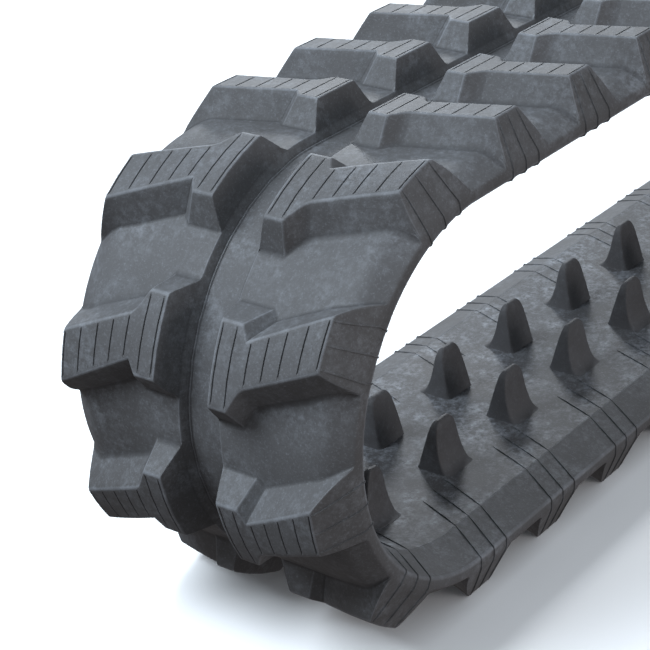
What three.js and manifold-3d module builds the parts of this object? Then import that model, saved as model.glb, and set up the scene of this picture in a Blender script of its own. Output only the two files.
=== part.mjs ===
// Rubber track for a small tracked machine: an endless rubber belt with two staggered rows of lugs,
// 37 forged steel cores with guide horns, and two bands of steel cord between the cores and the tread.
// Millimetres, +Z up, +X along the track, origin on the ground under the middle of the loop.
import * as THREE from "three";
import { mergeVertices } from "three/addons/utils/BufferGeometryUtils.js";
import Module from "manifold-3d";

const wasm = await Module();
wasm.setup();

// ---- Driving dimensions -------------------------------------------------------------------------
const PITCH = 72; // spacing of the steel cores along the pitch line
const LINKS = 37; // cores in the whole track
const WIDTH = 180; // belt width
const BEND_RADIUS = 97; // pitch line radius of the two end loops
const PITCH_DEPTH = 3; // pitch line, below the inner face
const LUG_TOP = 39; // depth of the lug tops, below the inner face
const FLOOR = 23.7; // depth of the belt surface between the lugs
const SHOULDER = { half: 77, depth: 15 }; // the surface falls from here to this depth at the edges
const GROOVE = { half: 13, bottomHalf: 10, depth: 18.5 }; // central groove between the two rows
const SEAM = 0.3; // gap between bonded layers
const MIDDLE_SEAM = 1; // clearance where the two halves of the upper run meet
const CORE_PHASE = 65.3; // first core, ahead of the front loop's upper end
const FRONT_LINKS = 6; // links of the upper run in front of its middle seam
const REAR_LINKS = 7; // links of the upper run behind its middle seam
const COVER_OVERLAP = 12.5; // the inner cover runs this far past the core that the tread is cut over

// ---- Layers, as depths below the inner face -----------------------------------------------------
const EDGE_DEPTH = 8.5; // inner face at the belt's edges, after the bevel
const FLAT_HALF = 68; // half width of the flat of the inner face
const COVER_DEPTH = 9.2;
const CORD_TOP = COVER_DEPTH + SEAM;
const CORD_THICKNESS = 2;
const CORD_DEPTH = CORD_TOP + CORD_THICKNESS;
const CORD_IN = 18;
const CORD_OUT = 66;

// ---- Steel cores --------------------------------------------------------------------------------
const CORE = { half: 8.5, waist: 36, reach: 64, tip: 5, top: 4, bottom: COVER_DEPTH - SEAM };
const HORN = { centre: 24, along: 7.6, across: 6.9, crestAlong: 4, crestAcross: 1.6, height: 26 };
const HORN_RUBBER = 3.6; // rubber over the steel horn
const ROOT = 1; // how far one shape reaches into another that it is joined to or cut from
const POCKET = 0.3; // gap around each core

const HALF_WIDTH = WIDTH / 2;
const LOOP_LENGTH = Math.PI * BEND_RADIUS;
const RUN_LENGTH = (LINKS * PITCH) / 2 - LOOP_LENGTH;
const LOOP_X = RUN_LENGTH / 2;
const LOOP_Z = LUG_TOP - PITCH_DEPTH + BEND_RADIUS;
const TRACK_LENGTH = LINKS * PITCH;

// ---- The pitch line -----------------------------------------------------------------------------
// s runs from the upper end of the front (-X) loop down the loop, back along the lower run, up the rear
// loop and forward along the upper run. Returns a point depth below the inner face, at y.
function onTrack(s, y, depth) {
  const t = ((s % TRACK_LENGTH) + TRACK_LENGTH) % TRACK_LENGTH;
  const out = depth - PITCH_DEPTH;
  const r = BEND_RADIUS + out;
  if (t < LOOP_LENGTH) {
    const a = t / BEND_RADIUS;
    return [-LOOP_X - r * Math.sin(a), y, LOOP_Z + r * Math.cos(a)];
  }
  if (t < LOOP_LENGTH + RUN_LENGTH) return [-LOOP_X + t - LOOP_LENGTH, y, LOOP_Z - r];
  if (t < 2 * LOOP_LENGTH + RUN_LENGTH) {
    const a = (t - LOOP_LENGTH - RUN_LENGTH) / BEND_RADIUS;
    return [LOOP_X + r * Math.sin(a), y, LOOP_Z - r * Math.cos(a)];
  }
  return [LOOP_X - (t - 2 * LOOP_LENGTH - RUN_LENGTH), y, LOOP_Z + r];
}

const BEND_STEPS = 22; // sections around each end loop

// Places along the belt where a strip between two values of s needs a section.
function stations(from, to) {
  const bends = [];
  for (const start of [0, LOOP_LENGTH + RUN_LENGTH])
    for (let i = 0; i <= BEND_STEPS; i++) bends.push(start + (LOOP_LENGTH * i) / BEND_STEPS);
  return [from, ...bends.filter((s) => s > from + 0.5 && s < to - 0.5), to];
}

// ---- Solids -------------------------------------------------------------------------------------
function solid(positions, triangles) {
  const g = new THREE.BufferGeometry();
  g.setAttribute("position", new THREE.Float32BufferAttribute(positions, 3));
  g.setIndex(triangles);
  const merged = mergeVertices(g, 1e-4);
  return new wasm.Manifold(
    new wasm.Mesh({
      numProp: 3,
      vertProperties: merged.attributes.position.array,
      triVerts: new Uint32Array(merged.index.array),
    }),
  );
}

function geometryOf(made) {
  const mesh = made.getMesh();
  const g = new THREE.BufferGeometry();
  g.setAttribute("position", new THREE.BufferAttribute(new Float32Array(mesh.vertProperties), 3));
  g.setIndex(new THREE.BufferAttribute(new Uint32Array(mesh.triVerts), 1));
  g.computeVertexNormals();
  return g;
}

// Loops of equally many points, one per section, joined into a closed solid.
function loft(loops) {
  const n = loops[0].length;
  const positions = loops.flat(2);
  const triangles = [];
  for (let k = 0; k + 1 < loops.length; k++)
    for (let i = 0; i < n; i++) {
      const a = k * n + i;
      const b = k * n + ((i + 1) % n);
      triangles.push(a, b, b + n, a, b + n, a + n);
    }
  return { n, positions, triangles, last: (loops.length - 1) * n };
}

// The outline is the first loop laid flat, for the two end faces.
function capped(loops, outline) {
  const flat = outline.map(([u, v]) => new THREE.Vector2(u, v));
  if (THREE.ShapeUtils.isClockWise(flat)) {
    flat.reverse();
    loops = loops.map((loop) => [...loop].reverse());
  }
  const body = loft(loops);
  const cap = THREE.ShapeUtils.triangulateShape(flat, []);
  for (const [a, b, c] of cap) {
    body.triangles.push(c, b, a);
    body.triangles.push(a + body.last, b + body.last, c + body.last);
  }
  const made = solid(body.positions, body.triangles);
  return made.volume() > 0 ? made : solid(body.positions, [...body.triangles].reverse());
}

// A strip of the belt with the section given as [y, depth] points.
function strip(section, from, to) {
  const loops = stations(from, to).map((s) => section.map(([y, depth]) => onTrack(s, y, depth)));
  return capped(loops, section);
}

// A tapered block on the belt: outlines of [along, y, depth] points, about the place s.
function block(s, levels) {
  const loops = levels.map((outline) => outline.map(([t, y, depth]) => onTrack(s + t, y, depth)));
  return capped(loops, levels[0]);
}

function atDepth(depth, outline) {
  return outline.map(([t, y]) => [t, y, depth]);
}

function join(parts) {
  return wasm.Manifold.union(parts);
}

// ---- Tread lugs ---------------------------------------------------------------------------------
// A lug of the right row is a block beside the central groove and a bar that sweeps back to the belt's
// edge. The left row is the same lug turned half a turn. Each row below is one corner: [along, outward]
// on top, then how far the foot runs out along and outward.
const LUG_RUN = 9.5; // run of the flanks, from the top down to the root
const LUG_END = { run: 6.5, outward: 10.5 }; // the same at the belt's edge, where the lug is deeper
const LUG_INNER = -4.5; // the inner face leans towards the groove
const LUG_CORNERS = [
  [3.4, 17.5, -LUG_RUN, LUG_INNER],
  [35.8, 17.5, LUG_RUN, LUG_INNER],
  [35.8, 29, LUG_RUN, 0],
  [26.5, 35.5, LUG_RUN, 0],
  [13.9, 75, LUG_RUN - 1, 2],
  [12.6, 79, LUG_END.run, LUG_END.outward],
  [-7.7, 79, -LUG_END.run, LUG_END.outward],
  [-6.2, 75, 1 - LUG_RUN, 2],
  [8.8, 35.5, -LUG_RUN, 0],
  [3.4, 29, -LUG_RUN, 0],
];
const LUG_OFFSET = PITCH / 4; // lug centre, from its core
const LUG_ROOT = FLOOR - 2; // the lugs are rooted in the belt
const LUG_END_ROOT = SHOULDER.depth - 1.5;

function lug(core, row) {
  const place = (t, w, depth) => [row * (LUG_OFFSET + t), -row * w, depth];
  const top = LUG_CORNERS.map(([t, w]) => place(t, w, LUG_TOP));
  const foot = LUG_CORNERS.map(([t, w, run, outward]) =>
    place(t + run, w + outward, outward === LUG_END.outward ? LUG_END_ROOT : LUG_ROOT),
  );
  return block(core, [foot, top]);
}

// ---- Horns and cores ----------------------------------------------------------------------------
function rectangle(along, across, centre) {
  return [
    [-along, centre - across],
    [along, centre - across],
    [along, centre + across],
    [-along, centre + across],
  ];
}

function horn(core, side, grow, base) {
  const centre = side * HORN.centre;
  const crest = rectangle(HORN.crestAlong + grow / 2, HORN.crestAcross + grow / 2, centre);
  const foot = rectangle(HORN.along + grow, HORN.across + grow, centre);
  return block(core, [atDepth(-HORN.height - grow, crest), atDepth(base, foot)]);
}

function steelCore(core, grow, bottom) {
  const { half, waist, reach, tip, top } = CORE;
  const h = half + grow;
  const e = tip + grow;
  const r = reach + grow;
  const plan = [
    [-h, -waist],
    [-e, -r],
    [e, -r],
    [h, -waist],
    [h, waist],
    [e, r],
    [-e, r],
    [-h, waist],
  ];
  const bar = block(core, [atDepth(top - grow, plan), atDepth(bottom, plan)]);
  return join([bar, ...[1, -1].map((side) => horn(core, side, grow, bottom - ROOT))]);
}

// ---- Layers of the belt -------------------------------------------------------------------------
const coverSection = [
  [-FLAT_HALF, 0],
  [FLAT_HALF, 0],
  [HALF_WIDTH, EDGE_DEPTH],
  [HALF_WIDTH, COVER_DEPTH],
  [-HALF_WIDTH, COVER_DEPTH],
  [-HALF_WIDTH, EDGE_DEPTH],
];

const CORD_CHANNEL = CORD_DEPTH + SEAM;
const treadSection = [
  [-HALF_WIDTH, CORD_TOP],
  [-CORD_OUT - SEAM, CORD_TOP],
  [-CORD_OUT - SEAM, CORD_CHANNEL],
  [-CORD_IN + SEAM, CORD_CHANNEL],
  [-CORD_IN + SEAM, CORD_TOP],
  [CORD_IN - SEAM, CORD_TOP],
  [CORD_IN - SEAM, CORD_CHANNEL],
  [CORD_OUT + SEAM, CORD_CHANNEL],
  [CORD_OUT + SEAM, CORD_TOP],
  [HALF_WIDTH, CORD_TOP],
  [HALF_WIDTH, SHOULDER.depth],
  [SHOULDER.half, FLOOR],
  [GROOVE.half, FLOOR],
  [GROOVE.bottomHalf, GROOVE.depth],
  [-GROOVE.bottomHalf, GROOVE.depth],
  [-GROOVE.half, FLOOR],
  [-SHOULDER.half, FLOOR],
  [-HALF_WIDTH, SHOULDER.depth],
];

// What lies under the tread, for trimming the roots of lugs that stand on a bend.
const UNDER_HALF = HALF_WIDTH + 10;
const UNDER_HEIGHT = 20;
const UNDER_DEPTH = CORD_CHANNEL + 0.5;
const LUG_OVERHANG = 30; // a lug's foot can run this far past its stretch
const underTreadSection = [
  [-UNDER_HALF, -UNDER_HEIGHT],
  [UNDER_HALF, -UNDER_HEIGHT],
  [UNDER_HALF, UNDER_DEPTH],
  [-UNDER_HALF, UNDER_DEPTH],
];

function cordSection(side) {
  return [
    [side * CORD_IN, CORD_TOP],
    [side * CORD_OUT, CORD_TOP],
    [side * CORD_OUT, CORD_DEPTH],
    [side * CORD_IN, CORD_DEPTH],
  ];
}

// ---- The three stretches of the belt ------------------------------------------------------------
// A cut lies over a core in the tread and cords, and COVER_OVERLAP behind it in the inner cover.
const cutS = {
  front: TRACK_LENGTH - CORE_PHASE,
  middle: TRACK_LENGTH - CORE_PHASE - FRONT_LINKS * PITCH,
  rear: TRACK_LENGTH - CORE_PHASE - (FRONT_LINKS + REAR_LINKS) * PITCH,
};
const stretches = [
  { name: "lower", from: cutS.front - TRACK_LENGTH, to: cutS.rear, gapFrom: SEAM, gapTo: SEAM },
  { name: "upper_rear", from: cutS.rear, to: cutS.middle, gapFrom: SEAM, gapTo: MIDDLE_SEAM },
  { name: "upper_front", from: cutS.middle, to: cutS.front, gapFrom: MIDDLE_SEAM, gapTo: SEAM },
];

const cores = Array.from({ length: LINKS }, (_, k) => k * PITCH - CORE_PHASE);

// The cores that lie between two cuts of a stretch, with each core s made to fall inside it.
function coresBetween(from, to) {
  return cores
    .map((s) => (s < from - 1 ? s + TRACK_LENGTH : s))
    .filter((s) => s > from - 1 && s < to + 1);
}

const rubberBlack = new THREE.MeshStandardMaterial({ color: 0x4a4e53, roughness: 0.72, metalness: 0 });
const rubberInner = new THREE.MeshStandardMaterial({ color: 0x565b60, roughness: 0.8, metalness: 0 });
const forgedSteel = new THREE.MeshStandardMaterial({ color: 0x6b6f73, roughness: 0.45, metalness: 1 });
const cordSteel = new THREE.MeshStandardMaterial({ color: 0xb08d57, roughness: 0.4, metalness: 1 });

const group = new THREE.Group();
group.name = "rubber_track";

function addMesh(name, made, material) {
  const mesh = new THREE.Mesh(geometryOf(made), material);
  mesh.name = name;
  group.add(mesh);
}

for (const { name, from, to, gapFrom, gapTo } of stretches) {
  const start = from + gapFrom / 2;
  const end = to - gapTo / 2;

  // A lug belongs to the stretch that its foot stands on.
  const right = coresBetween(from, to - PITCH / 2).map((s) => lug(s, 1));
  const left = coresBetween(from + PITCH / 2, to).map((s) => lug(s, -1));
  const trim = strip(underTreadSection, start - LUG_OVERHANG, end + LUG_OVERHANG);
  const lugs = join([...right, ...left]).subtract(trim);
  const tread = join([strip(treadSection, start, end), lugs]);
  addMesh("tread_" + name, tread, rubberBlack);

  addMesh("cord_left_" + name, strip(cordSection(1), start, end), cordSteel);
  addMesh("cord_right_" + name, strip(cordSection(-1), start, end), cordSteel);

  const coverFrom = start - COVER_OVERLAP;
  const coverTo = end - COVER_OVERLAP;
  const held = coresBetween(coverFrom, coverTo);
  const sheaths = held.flatMap((s) => [1, -1].map((side) => horn(s, side, HORN_RUBBER, ROOT)));
  const skin = join([strip(coverSection, coverFrom, coverTo), ...sheaths]);
  const pockets = join(held.map((s) => steelCore(s, POCKET, COVER_DEPTH + ROOT)));
  addMesh("inner_cover_" + name, skin.subtract(pockets), rubberInner);
}

cores.forEach((s, k) => {
  const number = String(k + 1).padStart(2, "0");
  addMesh("core_" + number, steelCore(s, 0, CORE.bottom), forgedSteel);
});

export default group;
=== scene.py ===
"""Looks of the rubber track: a moulded tread with its lugs and mould ribs, and the inner cover with its
guide horns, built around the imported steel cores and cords. Design lengths are millimetres."""
import math

import bpy
import numpy as np
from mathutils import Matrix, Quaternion, Vector


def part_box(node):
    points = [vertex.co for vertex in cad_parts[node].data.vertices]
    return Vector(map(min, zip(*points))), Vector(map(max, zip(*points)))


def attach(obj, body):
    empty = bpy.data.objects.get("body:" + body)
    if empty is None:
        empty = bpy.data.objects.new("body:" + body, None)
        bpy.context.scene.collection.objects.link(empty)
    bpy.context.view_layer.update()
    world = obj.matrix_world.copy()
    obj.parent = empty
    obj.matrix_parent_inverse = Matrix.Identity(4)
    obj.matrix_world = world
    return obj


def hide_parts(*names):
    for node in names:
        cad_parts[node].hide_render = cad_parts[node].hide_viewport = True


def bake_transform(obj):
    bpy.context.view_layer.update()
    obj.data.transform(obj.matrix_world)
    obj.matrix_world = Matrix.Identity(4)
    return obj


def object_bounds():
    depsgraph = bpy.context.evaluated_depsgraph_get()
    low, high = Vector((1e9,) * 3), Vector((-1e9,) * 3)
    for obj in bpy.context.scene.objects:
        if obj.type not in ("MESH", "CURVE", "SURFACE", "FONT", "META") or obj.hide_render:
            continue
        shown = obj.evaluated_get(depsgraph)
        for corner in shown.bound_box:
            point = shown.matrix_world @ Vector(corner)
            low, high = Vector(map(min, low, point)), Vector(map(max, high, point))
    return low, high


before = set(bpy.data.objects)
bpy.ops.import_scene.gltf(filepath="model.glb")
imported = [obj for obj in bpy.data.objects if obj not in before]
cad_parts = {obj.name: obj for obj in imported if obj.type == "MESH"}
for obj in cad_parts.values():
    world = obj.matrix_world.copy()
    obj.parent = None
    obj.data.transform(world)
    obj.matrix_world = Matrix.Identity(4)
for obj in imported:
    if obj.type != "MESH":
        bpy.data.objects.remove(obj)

MM = 0.001
cad_box = [list(corner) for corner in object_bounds()]

# ---- Driving dimensions, as in the CAD part ------------------------------------------------------
PITCH = 72.0
LINKS = 37
PITCH_DEPTH = 3.0
CORE_PHASE = 65.3
LUG_TOP = 39.0
FLOOR = 23.7
SHOULDER_HALF = 77.0
SHOULDER_DEPTH = 15.0
GROOVE_HALF = 13.0
GROOVE_BOTTOM_HALF = 10.0
GROOVE_DEPTH = 18.5
EDGE_DEPTH = 8.5
FLAT_HALF = 68.0
RECESS_DEPTH = 12.2
COVER_DEPTH = 9.2
COVER_OVERLAP = 12.5
HALF_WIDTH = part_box("tread_lower")[1].y / MM
HEIGHT = cad_box[1][2] / MM
LOOP_Z = HEIGHT / 2
BEND_RADIUS = LOOP_Z - LUG_TOP + PITCH_DEPTH
TRACK_LENGTH = LINKS * PITCH
LOOP_LENGTH = math.pi * BEND_RADIUS
RUN_LENGTH = TRACK_LENGTH / 2 - LOOP_LENGTH
LOOP_X = RUN_LENGTH / 2

# The belt's stretches, as core numbers counted from the front hinge.
FRONT_HINGE, REAR_HINGE, MIDDLE = 0, 24, 31
LOWER_MIDDLE = 12


def on_track(s, y, depth):
    """Points, in metres, depth below the inner face at the place s along the pitch line."""
    s, y, depth = np.broadcast_arrays(np.asarray(s, float) % TRACK_LENGTH, y, depth)
    r = BEND_RADIUS + depth - PITCH_DEPTH
    second = s - LOOP_LENGTH - RUN_LENGTH
    a = s / BEND_RADIUS
    b = second / BEND_RADIUS
    places = [s < LOOP_LENGTH, s < LOOP_LENGTH + RUN_LENGTH, second < LOOP_LENGTH]
    x = np.select(
        places,
        [-LOOP_X - r * np.sin(a), -LOOP_X + s - LOOP_LENGTH, LOOP_X + r * np.sin(b)],
        LOOP_X - (second - LOOP_LENGTH),
    )
    z = np.select(places, [LOOP_Z + r * np.cos(a), LOOP_Z - r, LOOP_Z - r * np.cos(b)], LOOP_Z + r)
    return np.stack([x, y, z], -1) * MM


def core_place(number):
    return number * PITCH - CORE_PHASE


# ---- Small curve helpers -------------------------------------------------------------------------
def smooth_min(a, b, k):
    h = np.clip(0.5 + 0.5 * (b - a) / k, 0, 1)
    return b * (1 - h) + a * h - k * h * (1 - h)


def smooth_max(a, b, k):
    return -smooth_min(-a, -b, k)


def line(x, p, q):
    """The straight line through p and q, at x."""
    return p[1] + (x - p[0]) * (q[1] - p[1]) / (q[0] - p[0])


# ---- The tread's outer surface -------------------------------------------------------------------
# Everything is said for the right row: t along the track from the lug's middle, w outward from the
# groove. The left row is the same row turned half a turn.
LUG_OFFSET = PITCH / 4
LUG_INNER, LUG_OUTER = 17.5, 79.0
LUG_SLOPE = 8.8 / (LUG_TOP - FLOOR)
EDGE_SLOPE = 6.0 / (LUG_TOP - FLOOR)
COLUMNS = 36
REAR_ROUND, FRONT_ROUND, TOP_ROUND = 1.3, 2.4, 1.2
REAR_BLOCK, REAR_OUTER = 3.4, -7.9  # the lug's rear edge, t beside the groove and at its outer end
FRONT_BLOCK, FRONT_OUTER = 35.8, 12.6  # the lug's front edge, the same two places
REAR_NOTCH, NOTCH_WIDTH, NOTCH_FAN = (34.8, 9.0), 4.4, 4.5
FRONT_NOTCH_IN, FRONT_NOTCH = 29.0, (35.5, 26.5)
REAR_WALL_COLUMNS, LUG_COLUMNS = slice(1, 14), slice(14, 18)
COLUMN_GAP = 0.2
FULL_TURN = 0.3  # how sharply the surface turns where the edge's wear and painted highlight, and the crease's painted shade, are full
SIPES = [19.5, 28.0, 38.0, 47.5, 57.0, 67.5, 77.7]
SIPE_HALF, SIPE_DEPTH = 0.45, 0.7
BEAD_AT, BEAD_HALF, BEAD_HEIGHT = 9.9, 0.55, 0.6


def groove_wall(w):
    wall = np.where(
        w < GROOVE_HALF,
        line(w, (GROOVE_BOTTOM_HALF, GROOVE_DEPTH), (GROOVE_HALF, FLOOR)),
        line(w, (GROOVE_HALF, FLOOR), (LUG_INNER, LUG_TOP)),
    )
    return smooth_max(wall, GROOVE_DEPTH, 0.8)


def floor_depth(w):
    shoulder = line(w, (HALF_WIDTH, SHOULDER_DEPTH), (SHOULDER_HALF, FLOOR))
    return smooth_min(smooth_min(FLOOR, groove_wall(w), 1.0), shoulder, 3.5)


def lug_depth(w):
    end = line(w, (LUG_OUTER, LUG_TOP), (HALF_WIDTH, SHOULDER_DEPTH))
    return smooth_min(smooth_min(LUG_TOP, groove_wall(w), 1.1), end, 1.2)


def lug_front(w):
    notch = line(w, (FRONT_NOTCH_IN, FRONT_BLOCK), FRONT_NOTCH)
    bar = line(w, FRONT_NOTCH, (LUG_OUTER, FRONT_OUTER))
    return smooth_max(smooth_min(FRONT_BLOCK, notch, 0.9), bar, 3.2)


def lug_rear(w):
    bar = line(w, REAR_NOTCH, (LUG_OUTER, REAR_OUTER))
    notch = line(w, (REAR_NOTCH[0] - NOTCH_WIDTH, REAR_BLOCK), REAR_NOTCH)
    return smooth_min(smooth_max(REAR_BLOCK, notch, 0.7), bar, 0.7)


def notch_fan(w, t, depth):
    """The rear notch stands further outward at its foot: how far w and t move, for every column."""
    fall = np.clip((LUG_TOP - depth) / (LUG_TOP - FLOOR), 0, 1)
    reach = np.zeros(COLUMNS + 1)
    reach[REAR_WALL_COLUMNS] = 1
    reach[REAR_WALL_COLUMNS.start] = 0.5
    shift = NOTCH_FAN * fall * reach * np.interp(w, [20, 30, 36, 56], [0, 1, 1, 0])[:, None]
    on_bar = np.interp(w, [REAR_NOTCH[0] - NOTCH_WIDTH, REAR_NOTCH[0]], [0, 1])[:, None]
    bar_lean = (REAR_OUTER - REAR_NOTCH[1]) / (LUG_OUTER - REAR_NOTCH[0])
    return w[:, None] + shift, t + shift * on_bar * bar_lean


def corner(a, middle, b, reach_a, reach_b, count):
    """count + 1 points that round the corner at middle between a and b."""
    def towards(p, reach):
        d = p - middle
        size = np.linalg.norm(d, axis=-1, keepdims=True)
        return middle + d / np.maximum(size, 1e-6) * np.minimum(reach, size)

    start, end = towards(a, reach_a), towards(b, reach_b)
    f = np.linspace(0, 1, count + 1)[:, None, None]
    return (1 - f) ** 2 * start + 2 * f * (1 - f) * middle + f ** 2 * end


def between(a, b, *parts):
    """Points at these parts of the way from a to b."""
    return a + (b - a) * np.array(parts)[:, None, None]


def row_sections(w):
    """The COLUMNS + 1 points of one pitch for each w: t, depth and how far the lugs' fine cuts go in."""
    base, top = floor_depth(w), np.maximum(lug_depth(w), floor_depth(w))
    slope = np.interp(w, [68, HALF_WIDTH], [LUG_SLOPE, EDGE_SLOPE])
    rear, front = lug_rear(w), lug_front(w)
    foot_rear = np.stack([rear - slope * (LUG_TOP - base), base], -1)
    top_rear = np.stack([rear - slope * (LUG_TOP - top), top], -1)
    top_front = np.stack([front + slope * (LUG_TOP - top), top], -1)
    foot_front = np.stack([front + slope * (LUG_TOP - base), base], -1)
    leg = np.linalg.norm(top_rear - foot_rear, axis=-1, keepdims=True)
    foot_r, foot_f = (np.minimum(size, 0.55 * leg) for size in (REAR_ROUND, FRONT_ROUND))
    shoulder = np.minimum(TOP_ROUND, 0.3 * leg)
    start = np.minimum(-LUG_OFFSET, foot_rear[:, 0] - REAR_ROUND - 2.5)
    first = np.stack([start, base], -1)
    last = first + np.array([PITCH, 0])
    cove_rear = corner(first, foot_rear, top_rear, foot_r, foot_r, 4)
    edge_rear = corner(foot_rear, top_rear, top_front, shoulder, shoulder, 3)
    edge_front = corner(top_rear, top_front, foot_front, shoulder, shoulder, 3)
    cove_front = corner(top_front, foot_front, last, foot_f, foot_f, 4)
    points = np.concatenate([
        first[None], between(first, cove_rear[0], 0.5, 0.9), cove_rear,
        between(cove_rear[-1], edge_rear[0], 0.12, 0.88), edge_rear,
        between(edge_rear[-1], edge_front[0], 0.06, 0.35, 0.65, 0.94), edge_front,
        between(edge_front[-1], cove_front[0], 0.12, 0.88), cove_front,
        between(cove_front[-1], last, 0.04, 0.15, 0.3, 0.45, 0.6, 0.75, 0.88), last[None],
    ])
    t, depth = points[..., 0].T.copy(), points[..., 1].T.copy()
    nearest = np.min(np.abs(w[:, None] - np.array(SIPES)), axis=1)
    cut = np.clip((SIPE_HALF - nearest) / 0.25, 0, 1) * SIPE_DEPTH
    sipe = np.zeros_like(depth)
    sipe[:, LUG_COLUMNS] = (cut * (lug_depth(w) > LUG_TOP - 0.6))[:, None]
    return spread(t), depth, sipe


def spread(t):
    """Keeps neighbouring columns at least COLUMN_GAP apart."""
    for k in range(1, COLUMNS):
        t[:, k] = np.maximum(t[:, k], t[:, k - 1] + COLUMN_GAP)
    for k in range(COLUMNS - 1, 0, -1):
        t[:, k] = np.minimum(t[:, k], t[:, k + 1] - COLUMN_GAP)
    return t


def even_columns():
    return -LUG_OFFSET + PITCH * np.arange(COLUMNS + 1) / COLUMNS


def stations():
    """The places w that the outer surface is cut at, from the groove's middle to the belt's edge."""
    plain = [
        0, 5, 8.6, 9.4, 9.9, 10.4, 11.1, 12, 12.7, 13.1, 13.6, 15, 16.4, 17.1, 17.5, 18, 23.7, 26.6, 28.9,
        29.3, 30.2, 30.6, 31.2, 33.3, 34.4, 34.8, 35.2, 35.6, 36.4, 40.5, 43, 52, 62, 71, 74, 76, 78.6, 79,
        79.4, 80.2, 82.5, 84.5, 86.5, 88.2, 89.3,
    ]
    cuts = [c + side * d for c in SIPES for side in (-1, 1) for d in (SIPE_HALF, SIPE_HALF - 0.27)]
    return np.array(sorted(plain + cuts))


def bevel_depth(w):
    return line(w, (FLAT_HALF, 0), (HALF_WIDTH, EDGE_DEPTH))


def half_ring():
    """Half of the tread's section for every column: [row, column] arrays of t, w, depth and cuts."""
    w = stations()
    t, depth, sipe = row_sections(w)
    depth += (np.clip(1 - np.abs(w - BEAD_AT) / BEAD_HALF, 0, 1) * BEAD_HEIGHT)[:, None]
    mix = np.clip((GROOVE_BOTTOM_HALF - w) / GROOVE_BOTTOM_HALF, 0, 1)[:, None]
    t = t * (1 - mix) + even_columns() * mix
    outer, t = notch_fan(w, t, depth)
    edge = row_sections(np.array([HALF_WIDTH - 0.4]))[0][0]
    under = [
        (HALF_WIDTH - 0.25, SHOULDER_DEPTH - 0.1), (HALF_WIDTH, SHOULDER_DEPTH - 1), (HALF_WIDTH, 11.6),
        (HALF_WIDTH, EDGE_DEPTH + 0.9), (HALF_WIDTH - 0.25, EDGE_DEPTH + 0.3),
        (HALF_WIDTH - 0.9, EDGE_DEPTH - 0.25), (HALF_WIDTH - 2, EDGE_DEPTH - 0.77),
        (HALF_WIDTH - 2.6, bevel_depth(HALF_WIDTH - 2.6)), (79, bevel_depth(79)),
        (FLAT_HALF + 0.8, bevel_depth(FLAT_HALF + 0.8)), (FLAT_HALF, 0), (FLAT_HALF - 0.5, 0.3),
        (FLAT_HALF - 0.6, RECESS_DEPTH), (34, RECESS_DEPTH), (0, RECESS_DEPTH),
    ]
    rows_t = [edge + (even_columns() - edge) * np.clip(1 - p[0] / FLAT_HALF, 0, 1) for p in under]
    rows_w = [np.full(COLUMNS + 1, p[0]) for p in under]
    rows_d = [np.full(COLUMNS + 1, p[1]) for p in under]
    pairs = ((t, rows_t), (outer, rows_w), (depth, rows_d), (sipe, np.zeros_like(rows_t)))
    return [np.vstack(pair) for pair in pairs]


def tread_grid(first, last):
    """The tread's surface from core first to core last: s, y, depth and cuts, [column, ring row]."""
    t, w, depth, sipe = half_ring()
    columns = np.arange(first * COLUMNS, last * COLUMNS + 1)
    core, k = columns // COLUMNS, columns % COLUMNS
    right_s = core_place(core)[:, None] + LUG_OFFSET + t[:, k].T
    mirrored = (COLUMNS - k) % COLUMNS
    next_core = core + (k > 0)
    left_s = core_place(next_core)[:, None] - LUG_OFFSET - t[:, mirrored].T
    s = np.hstack([right_s, left_s[:, -2:0:-1]])
    y = np.hstack([-w[:, k].T, w[:, mirrored].T[:, -2:0:-1]])
    d = np.hstack([depth[:, k].T, depth[:, mirrored].T[:, -2:0:-1]])
    cuts = np.hstack([sipe[:, k].T, sipe[:, mirrored].T[:, -2:0:-1]])
    return s, y, d, cuts


def edge_wear_and_painted_light(points):
    """How sharply the surface turns at each point of a [column, ring row, 3] grid: above 0 on raised
    edges, which are paled as wear and painted highlight, below 0 in creases, which get painted shade."""
    along = np.concatenate([points[:1], points, points[-1:]])
    before, after = along[:-2] - points, along[2:] - points
    left, right = np.roll(points, 1, 1) - points, np.roll(points, -1, 1) - points

    def unit(v):
        return v / np.maximum(np.linalg.norm(v, axis=-1, keepdims=True), 1e-7)

    normal = unit(np.cross(after - before, right - left))
    turn = [-((unit(a) + unit(b)) * normal).sum(-1) for a, b in ((before, after), (left, right))]
    strongest = np.where(np.abs(turn[0]) > np.abs(turn[1]), turn[0], turn[1])
    return np.clip(strongest / FULL_TURN, -1, 1)


# ---- Meshes --------------------------------------------------------------------------------------
def tube_faces(columns, ring):
    """Quads between neighbouring rings, and the two end faces."""
    i, j = np.meshgrid(np.arange(columns - 1), np.arange(ring), indexing="ij")
    n = (j + 1) % ring
    quads = np.stack([i * ring + j, i * ring + n, (i + 1) * ring + n, (i + 1) * ring + j], -1)
    last = (columns - 1) * ring
    ends = [list(range(ring - 1, -1, -1)), list(range(last, last + ring))]
    return quads.reshape(-1, 4).tolist() + ends


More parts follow.
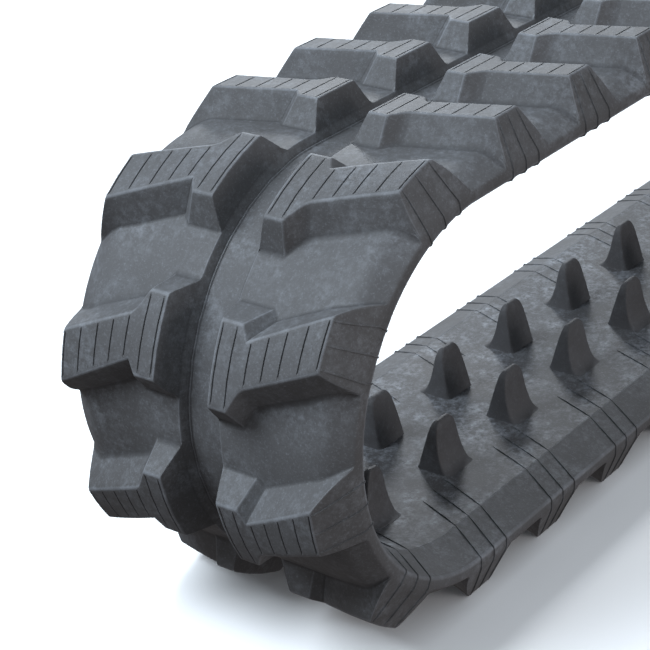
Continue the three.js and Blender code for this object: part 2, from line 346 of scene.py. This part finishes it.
class Piece:
    """Closed solids that are gathered into one mesh."""

    def __init__(self, name):
        self.name, self.vertices, self.faces, self.wear, self.dust = name, [], [], [], []
        self.count = 0

    def add(self, vertices, faces, wear=0.0, dust=1.0):
        self.vertices.append(vertices)
        self.faces += [[i + self.count for i in f] for f in faces]
        self.wear.append(np.broadcast_to(wear, len(vertices)))
        self.dust.append(np.broadcast_to(dust, len(vertices)))
        self.count += len(vertices)

    def make(self, material, sharp=28.0):
        mesh = bpy.data.meshes.new(self.name)
        mesh.from_pydata(np.concatenate(self.vertices).tolist(), [], self.faces)
        mesh.validate()
        mesh.shade_smooth()
        mesh.set_sharp_from_angle(angle=math.radians(sharp))
        # wear: paler edges, partly wear and partly painted highlight, and painted shade in creases
        for key, values in (("wear", self.wear), ("dust", self.dust)):
            layer = mesh.attributes.new(key, "FLOAT", "POINT")
            layer.data.foreach_set("value", np.concatenate(values).astype(np.float32))
        piece = bpy.data.objects.new(self.name, mesh)
        bpy.context.scene.collection.objects.link(piece)
        mesh.materials.append(material)
        return piece


def solid_of_rings(rings):
    """Vertices and outward faces of rings [ring, point, 3]."""
    first = rings[0] - rings[0].mean(0)
    area = np.cross(first, np.roll(first, -1, 0)).sum(0)
    faces = tube_faces(rings.shape[0], rings.shape[1])
    if np.dot(area, rings[1].mean(0) - rings[0].mean(0)) < 0:
        faces = [f[::-1] for f in faces]
    return rings.reshape(-1, 3), faces


# ---- Mould ribs ----------------------------------------------------------------------------------
RIB_GAP, RIB_GAP_TOP = 12.4, 8.7
RIB_HALF, RIB_HEIGHT, RIB_ROOT = 0.48, 0.7, 0.5
RIB_SLANT = 0.4
RIB_AT, RIB_AT_TOP = 1.5, 2.45  # t of the middle rib, on the belt's side and at the lug's top
RIB_TIP, RIB_TAPER = 0.35, 0.55  # height left at a rib's ends, and its crest's width
FLAT_RIB_ENDS = {-1: 38.5, 0: 36.5, 1: 34.5}  # where each rib stops on the inner face


def rib_path(number):
    """(t, w, depth, normal along w, normal along depth) of rib -1, 0 or 1, from the lug to the crease."""
    end = np.array([LUG_TOP - SHOULDER_DEPTH, HALF_WIDTH - LUG_OUTER])
    end = end / np.linalg.norm(end)
    bevel = np.array([EDGE_DEPTH, FLAT_HALF - HALF_WIDTH])
    bevel = bevel / np.linalg.norm(bevel)
    top_t, edge_t = RIB_AT_TOP + RIB_GAP_TOP * number, RIB_AT + RIB_GAP * number
    path = []
    for f in (0.03, 0.2, 0.5, 0.8, 0.96):
        w = LUG_OUTER + (HALF_WIDTH - LUG_OUTER) * f
        depth = lug_depth(np.array([w]))[0]
        path.append((top_t + (edge_t - top_t) * f ** 1.4, w, depth, *end))
    path.append((edge_t, HALF_WIDTH, SHOULDER_DEPTH - 1, 1, 0.1))
    path.append((edge_t, HALF_WIDTH, EDGE_DEPTH + 0.9, 1, -0.1))
    for w in (HALF_WIDTH - 0.6, 82, 75, FLAT_HALF + 0.2):
        path.append((edge_t + RIB_SLANT * (HALF_WIDTH - w), w, bevel_depth(w), *bevel))
    return path


def flat_rib_path(number):
    edge_t = RIB_AT + RIB_GAP * number
    ws = np.linspace(FLAT_HALF - 0.1, FLAT_RIB_ENDS[number], 6)
    return [(edge_t + RIB_SLANT * (HALF_WIDTH - w), w, 0, 0, -1) for w in ws]


def rib(core, row, path):
    """A thin raised strip along path, rooted in the rubber."""
    profile = [(-RIB_HALF, -RIB_ROOT), (RIB_HALF, -RIB_ROOT),
               (RIB_HALF * RIB_TAPER, RIB_HEIGHT), (-RIB_HALF * RIB_TAPER, RIB_HEIGHT)]
    rings = []
    for step, (t, w, depth, nw, nd) in enumerate(path):
        ends = RIB_TIP if step in (0, len(path) - 1) else 1.0
        ring = []
        for across, out in profile:
            out = out * ends if out > 0 else out
            s = core + row * (LUG_OFFSET + t + across)
            ring.append(on_track(s, -row * (w + nw * out), depth + nd * out))
        rings.append(ring)
    return solid_of_rings(np.array(rings))


# ---- Guide horns ---------------------------------------------------------------------------------
HORN_CENTRE = 24.0
HORN_STAGGER = 2.6
HORN_LEVELS = [  # height above the inner face, half length, half width outward and inward, corner
    (-1.5, 13.2, 13.8, 10.4, 3.5), (0, 13.0, 13.4, 10.1, 3.5), (0.3, 12.9, 12.3, 9.9, 3.4),
    (0.9, 12.8, 11.0, 9.6, 3.1), (2.0, 12.6, 9.4, 9.0, 2.6), (3.6, 12.4, 8.0, 8.4, 2.0),
    (5.8, 12.1, 6.8, 7.7, 1.5), (8.8, 11.8, 5.6, 6.9, 1.2), (13, 11.3, 4.4, 5.8, 1.1),
    (18, 10.6, 3.6, 4.6, 1.1),
    (22, 9.9, 3.1, 3.6, 1.1), (25, 9.1, 2.7, 2.9, 1.3), (26.8, 8.2, 2.4, 2.5, 1.5),
    (28.0, 7.2, 2.1, 2.1, 1.5), (28.8, 6.2, 1.6, 1.6, 1.2), (29.3, 5.2, 1.0, 1.0, 0.8),
    (29.5, 4.4, 0.5, 0.5, 0.4),
]


def rounded_outline(half_u, v_low, v_high, radius, steps=5):
    """A rectangle from -half_u to half_u and from v_low to v_high, with rounded corners."""
    radius = min(radius, half_u * 0.95, (v_high - v_low) * 0.475)
    points = []
    for quarter, (side, v) in enumerate([(1, v_high), (-1, v_high), (-1, v_low), (1, v_low)]):
        inset = -radius if v == v_high else radius
        for k in range(steps + 1):
            a = math.pi / 2 * (quarter + k / steps)
            u = side * (half_u - radius) + radius * math.cos(a)
            points.append((u, v + inset + radius * math.sin(a)))
    return points


def horn(core, side):
    """The outward face is hollowed like a bell's, the inward one is straight, and both ends are steep."""
    rings = []
    for height, along, outward_half, inward_half, round_corner in HORN_LEVELS:
        low, high = sorted((-side * inward_half, side * outward_half))
        outline = rounded_outline(along, low, high, round_corner)
        rings.append([on_track(core + side * HORN_STAGGER + u, side * HORN_CENTRE + v, -height)
                      for u, v in outline])
    return solid_of_rings(np.array(rings))


# ---- The inner cover -----------------------------------------------------------------------------
def cover_slab(start, end):
    columns = max(2, int((end - start) / 4))
    s = np.linspace(start, end, columns + 1)[:, None]
    half = FLAT_HALF - 0.3
    section = [(-half, 0.02), (-45, 0), (-24, 0), (0, 0), (24, 0), (45, 0), (half, 0.02),
               (half, COVER_DEPTH), (-half, COVER_DEPTH)]
    y, depth = np.array(section, float).T
    return solid_of_rings(on_track(s, y[None], depth[None]))


# ---- Materials -----------------------------------------------------------------------------------
class Nodes:
    """A material's node tree, written as short calls."""

    def __init__(self, name):
        self.material = bpy.data.materials.new(name)
        self.material.use_nodes = True
        self.tree = self.material.node_tree
        self.shader = self.tree.nodes["Principled BSDF"]

    def add(self, kind, inputs=None, **settings):
        node = self.tree.nodes.new(kind)
        for key, value in settings.items():
            setattr(node, key, value)
        for key, value in (inputs or {}).items():
            if isinstance(value, bpy.types.NodeSocket):
                self.tree.links.new(value, node.inputs[key])
            else:
                node.inputs[key].default_value = value
        return node

    def noise(self, coordinates, scale, detail=4.0, roughness=0.6):
        node = self.add("ShaderNodeTexNoise",
                        {"Vector": coordinates, "Scale": scale, "Detail": detail, "Roughness": roughness})
        return node.outputs["Fac"]

    def ramp(self, value, low, high, to_low=0.0, to_high=1.0):
        node = self.add("ShaderNodeMapRange", {"Value": value, "From Min": low, "From Max": high,
                                               "To Min": to_low, "To Max": to_high})
        return node.outputs["Result"]

    def math(self, operation, a, b):
        return self.add("ShaderNodeMath", {0: a, 1: b}, operation=operation).outputs[0]

    def mix(self, factor, a, b):
        node = self.add("ShaderNodeMix", data_type="RGBA")
        for socket, value in ((node.inputs[0], factor), (node.inputs[6], a), (node.inputs[7], b)):
            if isinstance(value, bpy.types.NodeSocket):
                self.tree.links.new(value, socket)
            else:
                socket.default_value = value
        return node.outputs[2]

    def plug(self, value, name):
        self.tree.links.new(value, self.shader.inputs[name])

    def bump(self, height, distance, strength=1.0):
        node = self.add("ShaderNodeBump", {"Height": height, "Distance": distance, "Strength": strength})
        self.plug(node.outputs["Normal"], "Normal")


# The pale dust colour; raised edges are also lightened towards it as a painted highlight.
DUST_AND_EDGE_HIGHLIGHT = (0.26, 0.28, 0.31, 1)
# Near-black colour painted into creases as shade.
PAINTED_CREASE_SHADE = (0.012, 0.012, 0.013, 1)


def rubber(name, dark, light, dust, speckle):
    """Dusty moulded rubber: cloudy bloom, fine speckle, paler edges that are partly wear and partly
    painted highlight, and painted shade in creases.
    """
    n = Nodes(name)
    place = n.add("ShaderNodeTexCoord").outputs["Object"]
    cloud = n.ramp(n.noise(place, 9.0, 5.0, 0.62), 0.36, 0.66)
    patches = n.ramp(n.noise(place, 40.0, 7.0, 0.72), 0.42, 0.64)
    scuffs = n.ramp(n.noise(place, 240.0, 7.0, 0.75), 0.42, 0.66)
    grain = n.ramp(n.noise(place, 700.0, 4.0, 0.75), 0.54, 0.74)
    wear = n.add("ShaderNodeAttribute", attribute_name="wear").outputs["Fac"]
    settled = n.add("ShaderNodeAttribute", attribute_name="dust").outputs["Fac"]
    bloom = n.math("MULTIPLY", n.math("MULTIPLY", patches, scuffs), n.math("MULTIPLY", settled, dust))
    # Painted highlight, partly wear: raised edges are lightened towards the dust colour.
    worn_and_highlit = n.math("MULTIPLY", n.ramp(wear, 0.5, 1.0, 0.0, 0.36), n.ramp(patches, 0.0, 1.0, 0.45, 1.0))
    colour = n.mix(n.math("MULTIPLY", cloud, 0.65), dark, light)
    colour = n.mix(bloom, colour, DUST_AND_EDGE_HIGHLIGHT)
    specks = n.math("MULTIPLY", grain, n.ramp(settled, 0.0, 1.0, 0.2 * speckle, speckle))
    colour = n.mix(specks, colour, DUST_AND_EDGE_HIGHLIGHT)
    colour = n.mix(worn_and_highlit, colour, DUST_AND_EDGE_HIGHLIGHT)
    # Painted shade: creases and the lugs' fine cuts are darkened towards a near-black colour.
    colour = n.mix(n.ramp(wear, -0.2, -1.0, 0.0, 0.55), colour, PAINTED_CREASE_SHADE)
    n.plug(colour, "Base Color")
    n.plug(n.ramp(n.math("ADD", cloud, grain), 0.0, 2.0, 0.60, 0.78), "Roughness")
    n.shader.inputs["Specular IOR Level"].default_value = 0.32
    pores = n.math("MULTIPLY", n.noise(place, 900.0, 2.0, 0.5), 0.5)
    fine = n.math("ADD", pores, n.noise(place, 160.0, 5.0, 0.6))
    n.bump(fine, 0.00035, 0.6)
    return n.material


def forged_steel():
    n = Nodes("forged_steel")
    place = n.add("ShaderNodeTexCoord").outputs["Object"]
    scale = n.ramp(n.noise(place, 60.0, 6.0, 0.65), 0.35, 0.65)
    n.plug(n.mix(scale, (0.16, 0.15, 0.15, 1), (0.34, 0.34, 0.35, 1)), "Base Color")
    n.plug(n.ramp(scale, 0, 1, 0.62, 0.42), "Roughness")
    n.shader.inputs["Metallic"].default_value = 1.0
    n.bump(n.noise(place, 240.0, 4.0, 0.6), 0.0004, 0.6)
    return n.material


def plated_cord():
    """Brass-plated cords lying side by side along the belt."""
    n = Nodes("plated_cord")
    place = n.add("ShaderNodeTexCoord").outputs["Object"]
    strands = n.add("ShaderNodeTexWave", {"Vector": place, "Scale": 125.0, "Distortion": 0.3},
                    bands_direction="Y").outputs["Fac"]
    n.plug(n.mix(strands, (0.30, 0.20, 0.09, 1), (0.72, 0.55, 0.30, 1)), "Base Color")
    n.plug(n.ramp(strands, 0, 1, 0.5, 0.3), "Roughness")
    n.shader.inputs["Metallic"].default_value = 1.0
    n.bump(strands, 0.0006)
    return n.material


# ---- Building the belt ---------------------------------------------------------------------------
tread_material = rubber("tread_rubber", (0.053, 0.052, 0.053, 1), (0.084, 0.085, 0.089, 1), 0.35, 0.30)
cover_material = rubber("cover_rubber", (0.038, 0.036, 0.037, 1), (0.066, 0.067, 0.071, 1), 0.85, 0.42)

HORN_DUST = 0.15
SIDE_WEAR_AND_HIGHLIGHT_DEPTH = 11.0  # neither wear nor painted edge highlight past this depth on the belt's sides
COVER_SHARP = 50.0
RIB_NUMBERS = (-1, 0, 1)


def make_tread(name, first, last):
    piece = Piece(name)
    s, y, depth, cuts = tread_grid(first, last)
    # Painted shade: the fine cuts on the lug tops count as creases and are darkened.
    wear = edge_wear_and_painted_light(on_track(s, y, depth)) - cuts / SIPE_DEPTH
    # Painted highlight: the bead along the groove gets a full light line that fades to its sides.
    from_bead = np.abs(np.abs(y) - BEAD_AT)
    wear = np.where(from_bead < 2 * BEAD_HALF, np.maximum(wear, 1 - 2 * from_bead / BEAD_HALF), wear)
    # The belt's side edges get neither wear nor painted highlight, only painted crease shade.
    on_side = (np.abs(y) > HALF_WIDTH - 1.5) & (depth > SIDE_WEAR_AND_HIGHLIGHT_DEPTH)
    wear = np.where(on_side, np.minimum(wear, 0), wear)
    vertices, faces = solid_of_rings(on_track(s, y, depth - cuts))
    piece.add(vertices, faces, wear.ravel())
    for core in range(first, last):
        for row, place in ((1, core_place(core)), (-1, core_place(core + 1))):
            for number in RIB_NUMBERS:
                piece.add(*rib(place, row, rib_path(number)))
    made = piece.make(tread_material)
    return made


def make_cover(name, first, last):
    piece = Piece(name)
    piece.add(*cover_slab(core_place(first) - COVER_OVERLAP, core_place(last) - COVER_OVERLAP))
    for core in range(first, last):
        place = core_place(core)
        for side in (1, -1):
            piece.add(*horn(place, side), dust=HORN_DUST)
        for row, lug_core in ((1, place), (-1, place + PITCH)):
            for number in RIB_NUMBERS:
                piece.add(*rib(lug_core, row, flat_rib_path(number)))
    made = piece.make(cover_material, COVER_SHARP)
    return made


def ride_or_blend(piece, body):
    """Attaches a piece that rides the root body; any other piece has its placement baked into its mesh."""
    if body == "root":
        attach(piece, body)
        return
    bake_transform(piece)


STRETCHES = [  # piece, body, end of the CAD nodes' names, first and last core
    ("front_loop", "root", "lower", FRONT_HINGE, LOWER_MIDDLE),
    ("rear_loop", "root", "lower", LOWER_MIDDLE, REAR_HINGE),
    ("upper_rear", "upper_rear", "upper_rear", REAR_HINGE, MIDDLE),
    ("upper_front", "upper_front", "upper_front", MIDDLE, LINKS),
]
LAYERS = [(make_tread, "moulded_tread_", "tread_"), (make_cover, "moulded_cover_", "inner_cover_")]
for name, body, node, first, last in STRETCHES:
    for make, kind, cad in LAYERS:
        made = make(kind + name, first, last)
        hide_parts(cad + node)
        ride_or_blend(made, body)

steel, cord = forged_steel(), plated_cord()
for node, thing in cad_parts.items():
    if node.startswith("core_"):
        thing.data.materials.clear()
        thing.data.materials.append(steel)
    elif node.startswith("cord_"):
        thing.data.materials.clear()
        thing.data.materials.append(cord)


# ---- Studio --------------------------------------------------------------------------------------
FLOOR_SIZE = 12.0
GROUND_LIGHT, SKY_LIGHT, SKY_FROM = (0.25, 0.235, 0.235, 1), (0.82, 0.91, 1.0, 1), 0.75
WORLD_STRENGTH = 0.85
SOFTBOXES = [  # name, place, what it points at, size, watts, colour
    ("key_behind", (1.9, 1.9, 1.75), (-0.4, 0, 0.15), 0.8, 68, (0.90, 0.95, 1.0)),
    ("fill_front_top", (-1.9, 1.1, 2.2), (-0.5, 0, 0.15), 1.5, 106, (0.82, 0.91, 1.0)),
    ("fill_right", (-0.2, -2.8, 0.5), (-0.4, 0, 0.1), 1.6, 34, (1.0, 0.96, 0.97)),
]


def pale_floor():
    """A floor that takes shadows but throws no light back on the belt."""
    mesh = bpy.data.meshes.new("studio_floor")
    corners = [(x * FLOOR_SIZE, y * FLOOR_SIZE, 0) for x, y in ((-1, -1), (1, -1), (1, 1), (-1, 1))]
    mesh.from_pydata(corners, [], [(0, 1, 2, 3)])
    n = Nodes("studio_floor")
    place = n.add("ShaderNodeTexCoord").outputs["Object"]
    n.plug(n.mix(n.noise(place, 3.0), (0.88, 0.88, 0.88, 1), (0.90, 0.90, 0.90, 1)), "Base Color")
    n.shader.inputs["Roughness"].default_value = 0.9
    mesh.materials.append(n.material)
    made = bpy.data.objects.new("studio_floor", mesh)
    bpy.context.scene.collection.objects.link(made)
    made.visible_diffuse = made.visible_glossy = False


def softbox(name, place, target, size, power, colour):
    light = bpy.data.lights.new(name, "AREA")
    light.shape, light.size, light.energy, light.color = "DISK", size, power, colour
    lamp = bpy.data.objects.new(name, light)
    lamp.location = place
    lamp.rotation_mode = "QUATERNION"
    lamp.rotation_quaternion = (Vector(target) - Vector(place)).to_track_quat("-Z", "Y")
    bpy.context.scene.collection.objects.link(lamp)


def light_studio():
    """A pale sky that darkens downward, and three soft lights."""
    bpy.context.scene.view_settings.view_transform = "Standard"
    world = bpy.data.worlds.new("studio")
    world.use_nodes = True
    tree = world.node_tree
    place = tree.nodes.new("ShaderNodeTexCoord")
    height = tree.nodes.new("ShaderNodeSeparateXYZ")
    sky = tree.nodes.new("ShaderNodeValToRGB")
    tree.links.new(place.outputs["Generated"], height.inputs[0])
    tree.links.new(height.outputs["Z"], sky.inputs[0])
    sky.color_ramp.elements[0].color = GROUND_LIGHT
    sky.color_ramp.elements[0].position = 0.0
    sky.color_ramp.elements[1].color = SKY_LIGHT
    sky.color_ramp.elements[1].position = SKY_FROM
    tree.links.new(sky.outputs[0], tree.nodes["Background"].inputs["Color"])
    tree.nodes["Background"].inputs["Strength"].default_value = WORLD_STRENGTH
    bpy.context.scene.world = world
    for light in SOFTBOXES:
        softbox(*light)



# The photo's camera, in degrees and metres, and its focal length in picture widths.
VIEW_AZIMUTH, VIEW_ELEVATION, VIEW_ROLL = 38.121, -25.865, 3.261
CAMERA_PLACE = (-1.30566, -0.61213, 0.63103)
FOCAL_WIDTHS = 2078.25 / 650
SENSOR_WIDTH = 36.0


def place_camera():
    camera_data = bpy.data.cameras.new("camera")
    camera_data.sensor_width = SENSOR_WIDTH
    camera_data.lens = FOCAL_WIDTHS * SENSOR_WIDTH
    camera = bpy.data.objects.new("camera", camera_data)
    a, e = math.radians(VIEW_AZIMUTH), math.radians(VIEW_ELEVATION)
    ahead = Vector((math.cos(e) * math.cos(a), math.cos(e) * math.sin(a), math.sin(e)))
    turn = ahead.to_track_quat("-Z", "Y") @ Quaternion((0, 0, 1), -math.radians(VIEW_ROLL))
    camera.rotation_mode = "QUATERNION"
    camera.rotation_quaternion = turn
    camera.location = CAMERA_PLACE
    bpy.context.scene.collection.objects.link(camera)
    bpy.context.scene.camera = camera


pale_floor()
light_studio()
place_camera()
